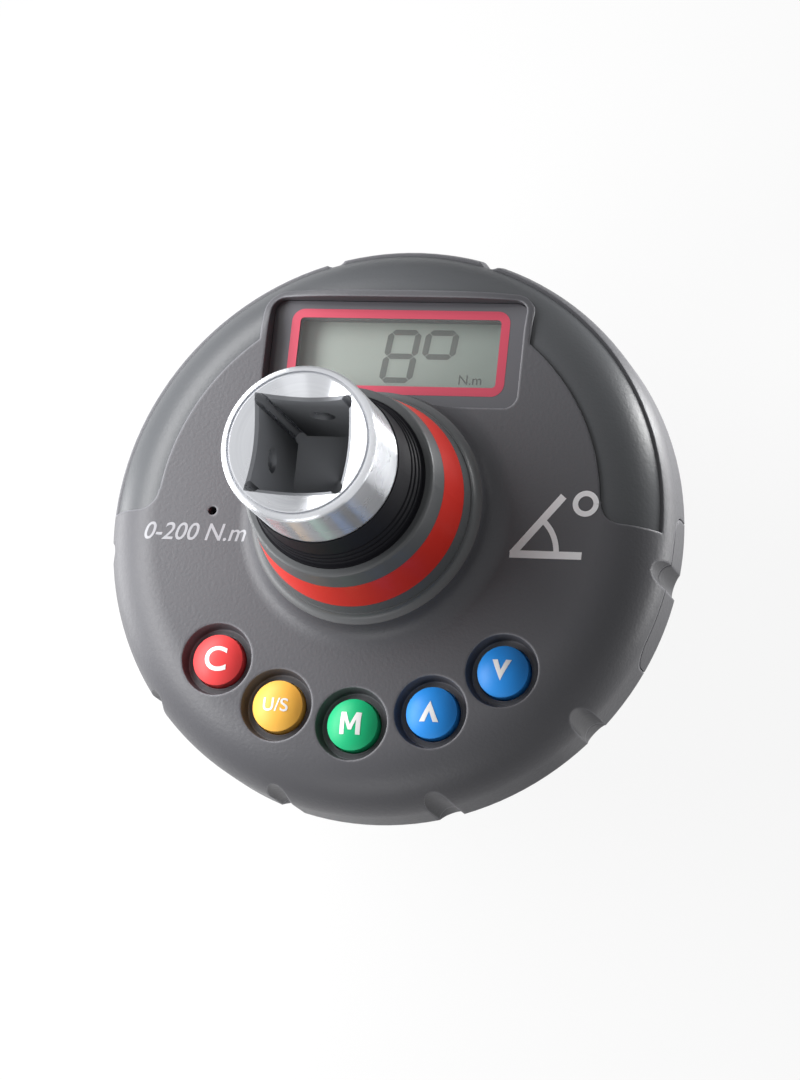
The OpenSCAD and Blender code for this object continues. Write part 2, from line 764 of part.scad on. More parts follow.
// Rear shell with its lip, hub tube, screw bosses, ribs and drawer rails
module rear_housing() {
    color("#3f3f43") difference() {
        union() {
            rotate_extrude() difference() {
                intersection() {
                    rear_section(body_r, back_z, rear_round);
                    translate([0, back_z]) square([body_r, parting_z - back_z]);
                }
                rear_section(body_r - rear_wall_t, floor_z, rear_round / 2);
            }
            difference() {
                rod(parting_z - fit, parting_z + lip_h, cavity_r - fit);
                rod(floor_z, parting_z + lip_h + over, cavity_r - fit - lip_t);
            }
            rod(floor_z - over, hub_tube_z, hub_tube_r);
            intersection() {
                rotate_extrude() rear_section(body_r - rear_wall_t / 2, back_z, rear_round);
                union() {
                    for (place = screw_places) at(place[0], place[1])
                        rod(floor_z - over, parting_z, rear_boss_r);
                    for (angle = rib_angles) rotate([0, 0, angle])
                        translate([hub_tube_r - over, -rib_t / 2, floor_z - over])
                            cube([body_r, rib_t, rib_h + over]);
                    drawer_rails();
                    lip_root();
                }
            }
        }
        grip_grooves();
        door_prism(door_gap, bay_start);
        rod(back_z - over, hub_tube_z + over, hub_bore_r);
        translate([hub_d / 2 - key_sink, -key_w / 2 - fit, back_z + key_lift - fit])
            cube([key_sink + key_out + fit, key_w + 2 * fit, body_depth]);
        for (place = screw_places) at(place[0], place[1]) {
            rod(back_z - over, head_z, screw_head_d / 2 + ease);
            rod(back_z, parting_z + over, screw_d / 2 + ease);
        }
    }
}

// Thicker top of the side wall, from which the locating lip rises
module lip_root() {
    difference() {
        rod(parting_z - rear_wall_t, parting_z, body_r);
        rod(floor_z, parting_z + over, cavity_r - fit - lip_t);
    }
}

// Two rails that the battery tray slides on
module drawer_rails() {
    rail_in = contact_w / 2 + 2 * contact_room;
    rail_out = door_w / 2 - door_round / 2;
    rotate([0, 0, door_angle]) for (side = [0, 1]) mirror([0, side, 0])
        translate([tray_inner, rail_in, floor_z - over])
            cube([body_r - tray_inner, rail_out - rail_in, tray_z - ease - floor_z + over]);
}

// Trim strip inlaid over the upper half of the rim
module rim_trim() {
    color("#434649") difference() {
        trim_strip(0, fit);
        grip_grooves();
    }
}

// Tapered sleeve around the neck, with a seat for the coloured band
module neck_sleeve() {
    color("#3b3c3d") rotate_extrude() difference() {
        union() {
            translate([sleeve_bore_r, ceiling_z])
                square([spigot_d / 2 - sleeve_bore_r, seam_z - ceiling_z + over]);
            sleeve_cone();
            difference() {
                translate([sleeve_bore_r, seam_z])
                    square([sleeve_foot_d / 2 + foot_round - sleeve_bore_r, foot_round]);
                translate([sleeve_foot_d / 2 + foot_round, seam_z + foot_round]) circle(foot_round);
            }
        }
        band_section(fit);
    }
}

// Half section of the sleeve's cone with its rounded top edge
module sleeve_cone() {
    top_r = sleeve_r(sleeve_rise - sleeve_edge);
    polygon([
        [sleeve_bore_r, seam_z], [sleeve_foot_d / 2, seam_z], [top_r, sleeve_z - sleeve_edge],
        [top_r - sleeve_edge, sleeve_z], [sleeve_bore_r, sleeve_z]
    ]);
    intersection() {
        translate([top_r - sleeve_edge, sleeve_z - sleeve_edge]) circle(sleeve_edge);
        translate([top_r - sleeve_edge, sleeve_z - sleeve_edge]) square(sleeve_edge);
    }
}

// Coloured band inlaid flush in the sleeve
module neck_band() {
    color("#dc3228") rotate_extrude() band_section(0);
}

// Radius of the hollow seal at a share of its height
function seal_r(share) =
    barrel_r + fit + seal_lip_t + (bush_t - 3 * seal_lip_t) * pow(1 - share, seal_hollow);

// Moulded seal between the sleeve and the barrel, with fine bead lines
module neck_seal() {
    bore = barrel_r + fit;
    steps = 12;
    curve = [for (i = [0:steps]) [seal_r(i / steps), sleeve_z + seal_rise * i / steps - (i == 0 ? fit : 0)]];
    color("#17171b") rotate_extrude() {
        translate([bore, sleeve_z - seal_plug]) square([bush_r - bore, seal_plug]);
        polygon(concat([[bore, sleeve_z + seal_rise], [bore, sleeve_z - fit]], curve));
        for (i = [1:seal_lines])
            translate([seal_r(i * seal_line_pitch / seal_rise), sleeve_z + i * seal_line_pitch])
                circle(seal_line / 2);
    }
}

// Display

// Window plate in the floor of the recess
module display_window() {
    color("#64636a") translate([0, 0, shelf_z]) linear_extrude(window_t) recess_outline(-ease);
}

// Display cell: two glass plates, the lower one wider for its contacts
module lcd_panel() {
    ledge = strip_w / 2;
    color("#a6aea6") translate([0, recess_y, lcd_z - lcd_t]) {
        translate([-lcd_w / 2, -lcd_h / 2, 0]) cube([lcd_w, lcd_h, lcd_t / 2]);
        translate([-lcd_w / 2, -lcd_h / 2 + ledge, lcd_t / 2]) cube([lcd_w, lcd_h - 2 * ledge, lcd_t / 2]);
    }
}

// Frame that holds the display cell over the board
module lcd_holder() {
    inner_w = lcd_w + 2 * ease;
    inner_h = lcd_h + 2 * ease;
    color("#e4e2dc") translate([0, 0, board_z]) linear_extrude(lcd_z - board_z) intersection() {
        translate([0, recess_y]) difference() {
            square([inner_w + 2 * holder_wall, inner_h + 2 * holder_wall], center = true);
            square([inner_w, inner_h], center = true);
        }
        circle(cavity_r - holder_room);
    }
}

// Two elastic contact strips between the display cell and the board
module contact_strips() {
    color("#d9a3a8") for (side = [-1, 1])
        translate([-lcd_w / 2 + strip_w, recess_y + side * (lcd_h - strip_w) / 2 - strip_w / 2, board_z])
            cube([lcd_w - 2 * strip_w, strip_w, lcd_z - lcd_t - board_z]);
}

// Electronics

// Ring-shaped circuit board that rests on the shoulders of the screw bosses
module main_board() {
    color("#2f6b45") difference() {
        rod(board_z - board_t, board_z, cavity_r - board_gap);
        rod(board_z - board_t - over, board_z + over, board_hole_d / 2);
        for (place = screw_places) at(place[0], place[1])
            rod(board_z - board_t - over, board_z + over, front_boss_r + ease);
    }
}

// Controller, motion sensor and bridge amplifier
module board_chips() {
    chips = [
        [buzzer_x, -chip_side / 2, chip_side, chip_h],
        [buzzer_x, chip_side / 2, chip_side / 2, chip_h],
        [0, -(board_hole_d / 2 + chip_side / 2 + over), chip_side / 1.5, chip_h]
    ];
    color("#26272b") for (chip = chips)
        translate([chip[0] - chip[2] / 2, chip[1] - chip[2] / 2, board_z]) cube([chip[2], chip[2], chip[3]]);
}

// Five key switches, each with a well for the key's stem
module key_switches() {
    color("#2b2c30") for (angle = key_angles) at(key_r, angle) difference() {
        translate([-switch_side / 2, -switch_side / 2, board_z]) cube([switch_side, switch_side, switch_h]);
        rod(switch_z - switch_well, switch_z + over, stem_d / 2 + cap_play);
    }
}

// Round buzzer behind the sound hole
module buzzer() {
    color("#1d1d20") translate([-buzzer_x, 0, 0]) difference() {
        rod(board_z, board_z + buzzer_h, buzzer_d / 2);
        rod(board_z + buzzer_h - over, board_z + buzzer_h + over, sound_hole_d);
    }
}

// Domed key cap with the flange that keeps it in the housing and the stem that meets its switch
module key(index, paint) {
    rim_z = face_z + cap_rise - crown;
    dome_r = (cap_d * cap_d / 4 + crown * crown) / (2 * crown);
    flange_z = ceiling_z - ease;
    color(paint) at(key_r, key_angles[index]) {
        intersection() {
            translate([0, 0, rim_z + crown - dome_r]) sphere(dome_r);
            rod(flange_z - cap_flange_t, face_z + cap_rise + over, cap_d / 2);
        }
        rod(flange_z - cap_flange_t, rim_z - fit, cap_d / 2);
        rod(flange_z - cap_flange_t, flange_z, cap_d / 2 + cap_flange);
        rod(switch_z - stem_reach, flange_z, stem_d / 2);
    }
}

module clear_key() {
    key(0, "#f24646");
}

module unit_key() {
    key(1, "#fcc650");
}

module mode_key() {
    key(2, "#1fae68");
}

module up_key() {
    key(3, "#2f7fd8");
}

module down_key() {
    key(4, "#2f7fd8");
}

// Power

// Drawer with a front that follows the side wall and a tray for the coin cell
module battery_drawer() {
    wall_z = cell_top_z - tray_dip;
    color("#4a4a4e") difference() {
        union() {
            intersection() {
                housing_form();
                door_prism(0, door_inner);
            }
            intersection() {
                door_prism(0, tray_inner);
                rotate([0, 0, door_angle])
                    translate([tray_inner, -door_w / 2, tray_z])
                        cube([door_inner - tray_inner + fit, door_w, wall_z - tray_z]);
            }
        }
        grip_grooves();
        rotate([0, 0, door_angle]) {
            translate([cell_x, 0, 0]) rod(cell_low_z, cell_top_z + over, cell_d / 2 + cell_play);
            translate([tray_inner - over, -contact_w / 2 - contact_room, tray_z - over])
                cube([cell_x + contact_w - tray_inner, contact_w + 2 * contact_room, tray_floor + 2 * over]);
        }
    }
}

// Coin cell: a can with its smaller pole plate below, behind a ring of sealing gap
module coin_cell() {
    pole_t = cell_t / 8;
    color("#d4d6da") rotate([0, 0, door_angle]) translate([cell_x, 0, 0]) {
        rod(cell_low_z + pole_t, cell_top_z, cell_d / 2);
        rod(cell_low_z, cell_low_z + pole_t + fit, cell_d / 2 - contact_room);
    }
}

// Spring strips above and below the cell
module battery_contacts() {
    color("#cfc7a6") rotate([0, 0, door_angle]) translate([cell_x, contact_w / 2, 0])
        rotate([90, 0, 0]) linear_extrude(contact_w) {
            contact_strip(floor_z, cell_low_z - contact_gap, 1);
            contact_strip(board_z - board_t, cell_top_z + contact_gap, -1);
        }
}

// Section of one strip: a foot on its base, a ramp up to the crest and a turned-down end
module contact_strip(base, crest, way) {
    crest_w = contact_w / 4;
    ramp = 0.8 * contact_w;
    skin = way * contact_t;
    polygon([
        [-ramp - contact_w, base], [-ramp, base], [-crest_w + contact_t / 2, crest - skin],
        [crest_w - contact_t / 2, crest - skin], [ramp - contact_t, (base + crest) / 2 - skin],
        [ramp, (base + crest) / 2], [crest_w, crest], [-crest_w, crest], [-ramp - contact_t / 2, base + skin],
        [-ramp - contact_w, base + skin]
    ]);
}

// Fasteners

// Screws that pull the rear shell against the front shell
module case_screws() {
    slot = screw_head_d / 6;
    color("#85888f") for (place = screw_places) at(place[0], place[1]) difference() {
        union() {
            rod(head_z - screw_head_h, head_z, screw_head_d / 2);
            rod(head_z - fit, parting_z + screw_grip, screw_d / 2);
        }
        for (turn = [0, 90]) rotate([0, 0, turn])
            translate([-1.5 * slot, -slot / 2, head_z - screw_head_h - over])
                cube([3 * slot, slot, screw_head_h / 2 + over]);
    }
}

torsion_shaft();
strain_gauges();
gauge_flex();
front_bush();
shaft_key();
retaining_ring();
detent_ball();
detent_spring();
front_housing();
rear_housing();
rim_trim();
neck_sleeve();
neck_band();
neck_seal();
display_window();
lcd_panel();
lcd_holder();
contact_strips();
main_board();
board_chips();
key_switches();
buzzer();
clear_key();
unit_key();
mode_key();
up_key();
down_key();
battery_drawer();
coin_cell();
battery_contacts();
case_screws();
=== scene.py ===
# Torque and angle gauge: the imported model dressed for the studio, in metres, with the drive axis on Z.
import math

import bmesh
import bpy
from mathutils import Matrix, Vector


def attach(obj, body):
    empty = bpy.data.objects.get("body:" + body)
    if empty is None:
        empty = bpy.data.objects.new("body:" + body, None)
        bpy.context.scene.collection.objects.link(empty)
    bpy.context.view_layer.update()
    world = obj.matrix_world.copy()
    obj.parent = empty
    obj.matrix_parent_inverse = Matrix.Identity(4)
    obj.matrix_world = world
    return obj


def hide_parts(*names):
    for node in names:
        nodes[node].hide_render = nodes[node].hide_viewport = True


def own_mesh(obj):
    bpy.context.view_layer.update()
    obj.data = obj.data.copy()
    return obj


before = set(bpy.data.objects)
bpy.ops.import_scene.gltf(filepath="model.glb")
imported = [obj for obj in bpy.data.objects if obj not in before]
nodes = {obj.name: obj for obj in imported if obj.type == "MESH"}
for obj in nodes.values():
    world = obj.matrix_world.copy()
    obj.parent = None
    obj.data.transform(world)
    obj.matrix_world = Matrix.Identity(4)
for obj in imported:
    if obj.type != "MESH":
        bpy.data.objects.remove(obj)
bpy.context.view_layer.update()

# Camera
# A long lens looks down on the face from beyond the keys, to the right of the drive axis.
# The three directions are the picture's right, its up, and the way back from the face to the lens.
scene = bpy.context.scene
camera_data = bpy.data.cameras.new("studio_camera")
camera_data.sensor_width = 36
camera_data.lens = 140
camera = bpy.data.objects.new("studio_camera", camera_data)
view_right = Vector((0.955696, 0.104828, -0.275058))
view_up = Vector((-0.030358, 0.964556, 0.262126))
view_back = Vector((0.292787, -0.242163, 0.925004))
turn = Matrix((view_right, view_up, view_back)).transposed()
camera.matrix_world = Matrix.Translation((0.178722, -0.147793, 0.596153)) @ turn.to_4x4()
scene.collection.objects.link(camera)
scene.camera = camera
scene.view_settings.view_transform = "Standard"


# Studio
# A white tent over a white paper sweep, which the lens sees as plain white. A soft box and a strip stand on
# the left, a soft box in front, and two strips with narrow beams low on the right and behind.
def linear(code):
    """Linear colour of an sRGB hex value."""
    shares = [int(code[i : i + 2], 16) / 255 for i in (1, 3, 5)]
    return (*[s / 12.92 if s <= 0.04045 else ((s + 0.055) / 1.055) ** 2.4 for s in shares], 1.0)


def add(tree, kind, settings=(), links=()):
    """A node with its settings, and with the sockets that feed it."""
    node = tree.nodes.new(kind)
    for name, value in dict(settings).items():
        if isinstance(name, int) or name in node.inputs:
            node.inputs[name].default_value = value
        else:
            setattr(node, name, value)
    for name, source in dict(links).items():
        tree.links.new(source, node.inputs[name])
    return node


# Matt surfaces get only this share of the tent's light
tent_fill = 0.15
tent = bpy.data.worlds.new("white_tent")
tent.use_nodes = True
tree = tent.node_tree
tree.nodes.clear()
path = add(tree, "ShaderNodeLightPath")
seen = add(
    tree,
    "ShaderNodeMath",
    {"operation": "MAXIMUM"},
    {0: path.outputs["Is Camera Ray"], 1: path.outputs["Is Transmission Ray"]},
)
mirrored = add(
    tree,
    "ShaderNodeMapRange",
    {"To Min": tent_fill, "To Max": 1.0},
    {"Value": path.outputs["Is Glossy Ray"]},
)
level = add(
    tree,
    "ShaderNodeMath",
    {"operation": "MAXIMUM"},
    {0: seen.outputs[0], 1: mirrored.outputs[0]},
)
glow = add(
    tree,
    "ShaderNodeBackground",
    {"Color": linear("#ffffff")},
    {"Strength": level.outputs[0]},
)
add(tree, "ShaderNodeOutputWorld", {}, {"Surface": glow.outputs[0]})
scene.world = tent

# The paper glows by this share, and the rest takes the gauge's shadow
paper_glow = 0.9
paper_radius = 3.0
paper = bpy.data.materials.new("white_paper_sweep")
paper.use_nodes = True
tree = paper.node_tree
tree.nodes.clear()
path = add(tree, "ShaderNodeLightPath")
sheet_white = add(tree, "ShaderNodeBsdfDiffuse", {"Color": linear("#f4f4f4")})
sheet_glow = add(tree, "ShaderNodeEmission", {"Color": linear("#ffffff"), "Strength": 1.0})
# Grey cards lie on the paper before and behind the gauge, and only reflections show them.
# Each tone is given by its bearing around the drive axis, in degrees from +X.
card_tones = {
    -180: 1.0,
    -160: 0.8,
    -120: 0.15,
    -52: 0.0,
    -47: 1.0,
    62: 1.0,
    74: 0.0,
    110: 0.0,
    125: 1.0,
}
lying = add(tree, "ShaderNodeTexCoord").outputs["Object"]
sides = add(tree, "ShaderNodeSeparateXYZ", {}, {0: lying})
bearing = add(
    tree,
    "ShaderNodeMath",
    {"operation": "ARCTAN2"},
    {0: sides.outputs[1], 1: sides.outputs[0]},
)
lap = add(
    tree,
    "ShaderNodeMapRange",
    {"From Min": -math.pi, "From Max": math.pi},
    {"Value": bearing.outputs[0]},
)
cards = add(tree, "ShaderNodeValToRGB", {}, {0: lap.outputs[0]})
stops = cards.color_ramp.elements
while len(stops) < len(card_tones):
    stops.new(1.0)
for stop, (angle, grey) in zip(stops, card_tones.items()):
    stop.position = (angle + 180) / 360
    stop.color = (grey, grey, grey, 1.0)
mirrored = add(
    tree,
    "ShaderNodeMath",
    {"operation": "MULTIPLY"},
    {0: path.outputs["Is Glossy Ray"], 1: cards.outputs[0]},
)
seen = add(
    tree,
    "ShaderNodeMath",
    {"operation": "MAXIMUM"},
    {0: path.outputs["Is Camera Ray"], 1: mirrored.outputs[0]},
)
share = add(tree, "ShaderNodeMath", {"operation": "MULTIPLY", 1: paper_glow}, {0: seen.outputs[0]})
sheet_mix = add(
    tree,
    "ShaderNodeMixShader",
    {},
    {0: share.outputs[0], 1: sheet_white.outputs[0], 2: sheet_glow.outputs[0]},
)
add(tree, "ShaderNodeOutputMaterial", {}, {"Surface": sheet_mix.outputs[0]})
sweep_mesh = bpy.data.meshes.new("paper_sweep")
bm = bmesh.new()
bmesh.ops.create_circle(bm, cap_ends=True, segments=64, radius=paper_radius)
bm.to_mesh(sweep_mesh)
bm.free()
sweep = bpy.data.objects.new("paper_sweep", sweep_mesh)
sweep_mesh.materials.append(paper)
scene.collection.objects.link(sweep)

# Each lamp has its place, aim, width and height in metres, its watts, and its beam in degrees
soft_boxes = {
    "left_box": ((-0.10, 0.02, 0.117), (0.0, 0.0, 0.045), 0.22, 0.05, 0.42, 180),
    "left_strip": ((-0.12, 0.0, 0.03), (-0.04, 0.0, 0.04), 0.06, 0.05, 0.05, 180),
    "front_box": ((-0.02, -0.22, 0.11), (0.0, 0.0, 0.045), 0.12, 0.06, 0.1, 180),
    "right_strip": ((0.0737, 0.0225, 0.007), (0.0405, 0.0115, 0.036), 0.11, 0.012, 0.009, 80),
    "back_strip": ((0.075, 0.055, 0.014), (0.034, 0.025, 0.034), 0.02, 0.06, 0.028, 100),
}
for name, (place, aim, width, height, watts, beam) in soft_boxes.items():
    lamp = bpy.data.lights.new(name, "AREA")
    lamp.shape = "RECTANGLE"
    lamp.size = width
    lamp.size_y = height
    lamp.energy = watts
    lamp.spread = math.radians(beam)
    holder = bpy.data.objects.new(name, lamp)
    holder.location = place
    holder.visible_camera = False
    holder.rotation_euler = (Vector(aim) - Vector(place)).to_track_quat("-Z", "Y").to_euler()
    scene.collection.objects.link(holder)

# Torsion shaft and detent ball
# Forged and turned alloy steel, plated with satin chrome. The socket is broached before plating, so its
# walls keep a darker, rougher skin than the turned barrel.
mm = 0.001


def start(name):
    """A new material with its tree, its shader and the piece's own coordinates."""
    material = bpy.data.materials.new(name)
    material.use_nodes = True
    tree = material.node_tree
    place = add(tree, "ShaderNodeTexCoord").outputs["Object"]
    return material, tree, tree.nodes["Principled BSDF"], place


def dress(material, *names):
    """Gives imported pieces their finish."""
    for name in names:
        nodes[name].data.materials.clear()
        nodes[name].data.materials.append(material)


# Turning stretches every reflection along the axis of the barrel
chrome, tree, skin, place = start("satin_chrome_plate")
skin.inputs["Metallic"].default_value = 1.0
skin.inputs["Anisotropic"].default_value = 0.95
skin.inputs["Anisotropic Rotation"].default_value = 0.25
around = add(tree, "ShaderNodeTangent", {"direction_type": "RADIAL", "axis": "Z"})
tree.links.new(around.outputs[0], skin.inputs["Tangent"])
# Turning lines around the axis, and smudges of about 7 mm from handling
line_pitch = 0.2 * mm
lathe = add(tree, "ShaderNodeMapping", {"Scale": (60, 60, 1 / line_pitch)}, {"Vector": place})
lines = add(tree, "ShaderNodeTexNoise", {"Scale": 1.0, "Detail": 2.0}, {"Vector": lathe.outputs[0]})
smudge = add(tree, "ShaderNodeTexNoise", {"Scale": 140.0, "Detail": 3.0}, {"Vector": place})
turned = add(tree, "ShaderNodeMapRange", {"To Min": 0.25, "To Max": 0.3}, {"Value": smudge.outputs[0]})
# The broached walls lie near the axis, above the foot of the socket
broach_reach = 6.9 * mm
broach_foot = 60 * mm
axes = add(tree, "ShaderNodeSeparateXYZ", {}, {0: place})
far_x = add(tree, "ShaderNodeMath", {"operation": "ABSOLUTE"}, {0: axes.outputs[0]})
far_y = add(tree, "ShaderNodeMath", {"operation": "ABSOLUTE"}, {0: axes.outputs[1]})
reach = add(
    tree,
    "ShaderNodeMath",
    {"operation": "MAXIMUM"},
    {0: far_x.outputs[0], 1: far_y.outputs[0]},
)
inside = add(tree, "ShaderNodeMath", {"operation": "LESS_THAN", 1: broach_reach}, {0: reach.outputs[0]})
above = add(tree, "ShaderNodeMath", {"operation": "GREATER_THAN", 1: broach_foot}, {0: axes.outputs[2]})
broached = add(
    tree,
    "ShaderNodeMath",
    {"operation": "MULTIPLY"},
    {0: inside.outputs[0], 1: above.outputs[0]},
)
tint = add(
    tree,
    "ShaderNodeMix",
    {"data_type": "RGBA", 6: linear("#c8cacf"), 7: linear("#dcdee2")},
    {0: lines.outputs[0]},
)
wall_tint = add(
    tree,
    "ShaderNodeMix",
    {"data_type": "RGBA", 7: linear("#86888c")},
    {0: broached.outputs[0], 6: tint.outputs[2]},
)
gloss = add(
    tree,
    "ShaderNodeMix",
    {"data_type": "FLOAT", 3: 0.5},
    {0: broached.outputs[0], 2: turned.outputs[0]},
)
relief = add(
    tree,
    "ShaderNodeBump",
    {"Strength": 0.06, "Distance": 0.05 * mm},
    {"Height": lines.outputs[0]},
)
tree.links.new(wall_tint.outputs[2], skin.inputs["Base Color"])
tree.links.new(gloss.outputs[0], skin.inputs["Roughness"])
tree.links.new(relief.outputs[0], skin.inputs["Normal"])
dress(chrome, "torsion_shaft", "detent_ball")


# Small metal pieces of the drive and the case
# Hardened and oiled steel key, ring and screws, a turned bronze bush, spring-bronze battery contacts and
# the nickel-plated can of the coin cell, each with the fine scratches of tumbling.
def metal(name, dark, light, streak, low, high):
    """A bare metal between two tones and two roughnesses, with streaks of a width in millimetres."""
    material, tree, skin, place = start(name)
    skin.inputs["Metallic"].default_value = 1.0
    scale = 1 / (streak * mm)
    lines = add(tree, "ShaderNodeTexNoise", {"Scale": scale, "Detail": 4.0}, {"Vector": place})
    tone = add(
        tree,
        "ShaderNodeMix",
        {"data_type": "RGBA", 6: linear(dark), 7: linear(light)},
        {0: lines.outputs[0]},
    )
    gloss = add(tree, "ShaderNodeMapRange", {"To Min": low, "To Max": high}, {"Value": lines.outputs[0]})
    tree.links.new(tone.outputs[2], skin.inputs["Base Color"])
    tree.links.new(gloss.outputs[0], skin.inputs["Roughness"])
    return material


oiled_steel = metal("oiled_hardened_steel", "#7c7f86", "#969aa1", 0.4, 0.3, 0.5)
bronze = metal("turned_bronze", "#b8925a", "#d0ac72", 0.3, 0.3, 0.45)
nickel = metal("nickel_plated_cell_can", "#c4c7cc", "#d2d4d8", 0.6, 0.3, 0.34)
dress(oiled_steel, "shaft_key", "retaining_ring", "case_screws")
dress(bronze, "front_bush", "battery_contacts")
dress(nickel, "coin_cell")


# Detent spring
# Five turns of hard-drawn steel wire in the bore behind the ball. The coil stands on the bottom of the bore
# and shortens when the ball is pressed in.
def finish_piece(name, bm, material, body, stands_for=None):
    """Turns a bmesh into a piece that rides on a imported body."""
    bmesh.ops.remove_doubles(bm, verts=bm.verts, dist=1e-7)
    bmesh.ops.recalc_face_normals(bm, faces=bm.faces)
    mesh = bpy.data.meshes.new(name)
    bm.to_mesh(mesh)
    bm.free()
    mesh.materials.append(material)
    piece = bpy.data.objects.new(name, mesh)
    scene.collection.objects.link(piece)
    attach(piece, body)
    if stands_for:
        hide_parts(stands_for)
    return piece


# Ends of the wire's middle line along X, its radius and its height, in millimetres
coil_low, coil_high, coil_radius, coil_level = -3.55, 2.67, 1.65, 8.0
wire_radius, coil_turns = 0.25, 5
coil_steps = 24 * coil_turns
bm = bmesh.new()
bmesh.ops.create_circle(bm, segments=10, radius=wire_radius * mm)
bmesh.ops.translate(bm, verts=bm.verts, vec=Vector((coil_low, coil_radius, 0)) * mm)
bmesh.ops.spin(
    bm,
    geom=bm.verts[:] + bm.edges[:],
    cent=(0, 0, 0),
    axis=(1, 0, 0),
    dvec=((coil_high - coil_low) / coil_steps * mm, 0, 0),
    angle=2 * math.pi * coil_turns,
    steps=coil_steps,
    use_merge=False,
)
bmesh.ops.holes_fill(bm, edges=bm.edges, sides=0)
bmesh.ops.translate(bm, verts=bm.verts, vec=(0, 0, coil_level * mm))
coil = finish_piece("detent_coil", bm, oiled_steel, "gauge", "detent_spring")
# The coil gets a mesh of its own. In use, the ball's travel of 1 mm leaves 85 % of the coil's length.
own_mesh(coil)


# Housing shells and battery drawer
# Glass-filled polyamide, injection moulded in tools with a fine spark-eroded skin. The two shells are
# screwed together from behind, and the drawer slides into the side wall.
def moulded(name, dark, light, grain, low, high, depth=0.06, shine=0.5, edge=0.0):
    """A moulded plastic between two tones and two roughnesses, with grain, and with a painted highlight
    along the edges, sizes in millimetres.
    """
    material, tree, skin, place = start(name)
    skin.inputs["Specular IOR Level"].default_value = shine
    scale = 1 / (grain * mm)
    pits = add(tree, "ShaderNodeTexNoise", {"Scale": scale, "Detail": 2.0}, {"Vector": place})
    # Slow drift of about 16 mm from the flow of the melt
    drift = add(tree, "ShaderNodeTexNoise", {"Scale": 60.0, "Detail": 2.0}, {"Vector": place})
    tone = add(
        tree,
        "ShaderNodeMix",
        {"data_type": "RGBA", 6: linear(dark), 7: linear(light)},
        {0: drift.outputs[0]},
    )
    gloss = add(tree, "ShaderNodeMapRange", {"To Min": low, "To Max": high}, {"Value": pits.outputs[0]})
    relief = add(
        tree,
        "ShaderNodeBump",
        {"Strength": depth, "Distance": 0.08 * mm},
        {"Height": pits.outputs[0]},
    )
    if edge:
        # Painted highlight: the edges are drawn paler where the rounded normal leaves the flat one
        rounding = add(tree, "ShaderNodeBevel", {"Radius": edge * mm, "samples": 6})
        flat = add(tree, "ShaderNodeNewGeometry")
        bend = add(
            tree,
            "ShaderNodeVectorMath",
            {"operation": "DOT_PRODUCT"},
            {0: rounding.outputs[0], 1: flat.outputs["Normal"]},
        )
        painted_edge_highlight = add(
            tree,
            "ShaderNodeMapRange",
            {"From Min": 0.99, "From Max": 0.8, "To Min": 0.0, "To Max": 0.8},
            {"Value": bend.outputs["Value"]},
        )
        tone = add(
            tree,
            "ShaderNodeMix",
            {"data_type": "RGBA", 7: linear("#909096")},
            {0: painted_edge_highlight.outputs[0], 6: tone.outputs[2]},
        )
        tree.links.new(rounding.outputs[0], relief.inputs["Normal"])
    tree.links.new(tone.outputs[2], skin.inputs["Base Color"])
    tree.links.new(gloss.outputs[0], skin.inputs["Roughness"])
    tree.links.new(relief.outputs[0], skin.inputs["Normal"])
    return material


# The real grain of about 0.1 mm is too fine to show, so it is drawn 0.5 mm wide
# The last figure sets the width in millimetres of the painted highlight along the edges
polyamide = moulded("spark_eroded_polyamide", "#4c4c50", "#545458", 0.5, 0.38, 0.52, 0.45, 0.35, 0.55)
dress(polyamide, "front_housing", "rear_housing", "battery_drawer")

# Rim trim, neck sleeve, band and seal
# The trim is a satin moulding glued into the rim. The sleeve is pressed onto the neck, its red band is
# moulded around it in a second shot, and the soft black seal closes the gap to the barrel.
neck_finishes = {
    "rim_trim": ("satin_trim_polyamide", "#4a4c4f", "#515356", 0.5, 0.34, 0.44, 0.3, 0.35),
    "neck_sleeve": ("satin_sleeve_polyamide", "#56585a", "#5c5e60", 0.3, 0.38, 0.46, 0.04, 0.4),
    "neck_band": ("second_shot_red", "#de2a1e", "#e83426", 0.5, 0.3, 0.38, 0.04, 0.35),
    "neck_seal": ("soft_black_seal", "#141418", "#1b1b20", 0.3, 0.46, 0.54, 0.015, 0.1),
}
for piece_name, finish in neck_finishes.items():
    dress(moulded(*finish), piece_name)


# Display window
# A clear acrylic plate glued into the recess, with a grey printed mask that leaves the screen free, and a
# red line around the opening.
def rounded_box(x, y, corner, z):
    """Corner points, in metres, of a rounded rectangle given by its limits in millimetres."""
    points = []
    steps = 8
    for cx, cy, turn in ((1, 1, 0), (0, 1, 90), (0, 0, 180), (1, 0, 270)):
        for step in range(steps + 1):
            angle = math.radians(turn + step * 90 / steps)
            px = x[cx] + (-corner if cx else corner) + corner * math.cos(angle)
            py = y[cy] + (-corner if cy else corner) + corner * math.sin(angle)
            points.append(Vector((px, py, z)) * mm)
    return points


def framed_plate(outer, inner, thickness):
    """A plate between two outlines of equal point count, or a full plate where there is no inner one."""
    bm = bmesh.new()
    rings = [[bm.verts.new(p) for p in ring] for ring in (outer, inner) if ring]
    if inner:
        for i in range(len(outer)):
            j = (i + 1) % len(outer)
            bm.faces.new((rings[0][i], rings[0][j], rings[1][j], rings[1][i]))
    else:
        bm.faces.new(rings[0])
    grown = bmesh.ops.extrude_face_region(bm, geom=bm.faces[:])
    tops = [v for v in grown["geom"] if isinstance(v, bmesh.types.BMVert)]
    bmesh.ops.translate(bm, verts=tops, vec=(0, 0, thickness * mm))
    return bm


